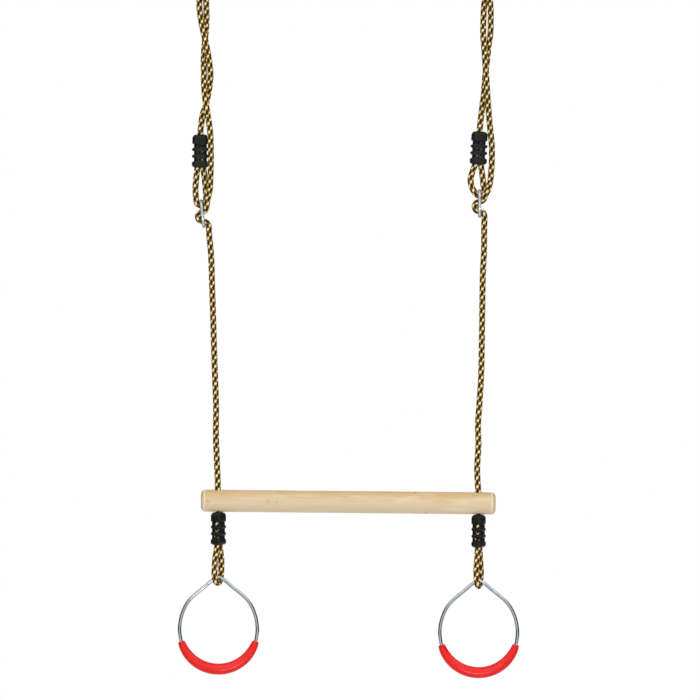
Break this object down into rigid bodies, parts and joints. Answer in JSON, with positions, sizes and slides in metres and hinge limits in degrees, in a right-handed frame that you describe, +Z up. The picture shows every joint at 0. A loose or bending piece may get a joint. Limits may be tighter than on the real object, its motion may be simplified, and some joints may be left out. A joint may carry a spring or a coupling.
{
  "type": "trapeze bar with gym rings",
  "caption": "Round wooden trapeze bar on two adjustable braided ropes, with a pair of steel gym rings with red grips hanging below it.",
  "frame": {"origin": "midway between the two points where the hanger rings bear on their hooks", "axes": "+Z up along the hanging ropes, +X along the bar to the right, -Y to the front"},
  "size_m": [0.5799, 0.0382, 1.2496],
  "materials": {
    "wood": "clear satin varnish",
    "rope": "braided cream and brown yarn",
    "black_plastic": "moulded, fine sheen",
    "red_plastic": "glossy",
    "steel": "bright, polished",
    "galvanised": "galvanised"
  },
  "bodies": {
    "mounting": {"left_hanger_ring": "galvanised", "right_hanger_ring": "galvanised"},
    "rope_tops": {"left_top_bight": "rope", "right_top_bight": "rope"},
    "left_strands": {"left_standing_strand": "rope", "left_sliding_strand": "rope"},
    "right_strands": {"right_standing_strand": "rope", "right_sliding_strand": "rope"},
    "left_adjusting": {"left_upper_clamp": "black_plastic", "left_eye_loop": "rope", "left_adjuster": "galvanised", "left_threaded_rope": "rope"},
    "right_adjusting": {"right_upper_clamp": "black_plastic", "right_eye_loop": "rope", "right_adjuster": "galvanised", "right_threaded_rope": "rope"},
    "left_main": {"left_main_rope": "rope"},
    "right_main": {"right_main_rope": "rope"},
    "left_foot": {"left_lower_clamp": "black_plastic", "left_bar_rope": "rope"},
    "right_foot": {"right_lower_clamp": "black_plastic", "right_bar_rope": "rope"},
    "bar": {"bar": "wood"},
    "left_loop": {"left_lower_loop": "rope"},
    "right_loop": {"right_lower_loop": "rope"},
    "left_gym_ring": {"left_ring_wire": "steel", "left_ring_grip": "red_plastic"},
    "right_gym_ring": {"right_ring_wire": "steel", "right_ring_grip": "red_plastic"}
  },
  "joints": [
    {"name": "swing", "type": "hinge", "parent": "mounting", "child": "rope_tops", "pos_m": [0, 0, -0.041], "axis": [1, 0, 0], "range_deg": [-70, 70]},
    {"name": "left_sway", "type": "hinge", "parent": "rope_tops", "child": "left_strands", "pos_m": [-0.242, 0, -0.062], "axis": [0, 1, 0], "range_deg": [-12, 12], "deforming": ["left_top_bight"]},
    {"name": "right_sway", "type": "hinge", "parent": "rope_tops", "child": "right_strands", "pos_m": [0.242, 0, -0.062], "axis": [0, 1, 0], "range_deg": [-12, 12], "deforming": ["right_top_bight"]},
    {"name": "left_height", "type": "slide", "parent": "left_strands", "child": "left_adjusting", "axis": [0, 0, 1], "range_m": [-0.1, 0.1], "deforming": ["left_standing_strand", "left_sliding_strand", "left_eye_loop", "left_threaded_rope"]},
    {"name": "right_height", "type": "slide", "parent": "right_strands", "child": "right_adjusting", "axis": [0, 0, 1], "range_m": [-0.1, 0.1], "deforming": ["right_standing_strand", "right_sliding_strand", "right_eye_loop", "right_threaded_rope"]},
    {"name": "left_run", "type": "slide", "parent": "left_adjusting", "child": "left_main", "axis": [0, 0, 1], "range_m": [-0.2, 0.2], "deforming": ["left_main_rope"]},
    {"name": "right_run", "type": "slide", "parent": "right_adjusting", "child": "right_main", "axis": [0, 0, 1], "range_m": [-0.2, 0.2], "deforming": ["right_main_rope"]},
    {"name": "left_foot_turn", "type": "hinge", "parent": "left_main", "child": "left_foot", "pos_m": [-0.216, 0, -0.9245], "axis": [0, 1, 0], "range_deg": [-14, 14], "deforming": ["left_bar_rope"]},
    {"name": "right_foot_turn", "type": "hinge", "parent": "right_main", "child": "right_foot", "pos_m": [0.227, 0, -0.9275], "axis": [0, 1, 0], "range_deg": [-14, 14], "deforming": ["right_bar_rope"]},
    {"name": "bar_lift", "type": "slide", "parent": "left_foot", "child": "bar", "axis": [0, 0, 1], "range_m": [0, 0.08]},
    {"name": "left_loop_sway", "type": "hinge", "parent": "left_foot", "child": "left_loop", "pos_m": [-0.2149, 0, -1.0173], "axis": [0, 1, 0], "range_deg": [-30, 30], "deforming": ["left_lower_loop"]},
    {"name": "right_loop_sway", "type": "hinge", "parent": "right_foot", "child": "right_loop", "pos_m": [0.2269, 0, -1.0216], "axis": [0, 1, 0], "range_deg": [-30, 30], "deforming": ["right_lower_loop"]},
    {"name": "left_ring_swing", "type": "hinge", "parent": "left_loop", "child": "left_gym_ring", "pos_m": [-0.2149, 0, -1.0722], "axis": [1, 0, 0], "range_deg": [-80, 80]},
    {"name": "right_ring_swing", "type": "hinge", "parent": "right_loop", "child": "right_gym_ring", "pos_m": [0.227, 0, -1.078], "axis": [1, 0, 0], "range_deg": [-80, 80]}
  ],
  "couplings": [
    {"joint": "right_sway", "follows": "left_sway", "ratio": 1},
    {"joint": "left_foot_turn", "follows": "left_sway", "ratio": -1.093},
    {"joint": "right_foot_turn", "follows": "left_sway", "ratio": -1.093},
    {"joint": "right_height", "follows": "left_height", "ratio": 1},
    {"joint": "left_run", "follows": "left_height", "ratio": -2},
    {"joint": "right_run", "follows": "left_height", "ratio": -2}
  ]
}
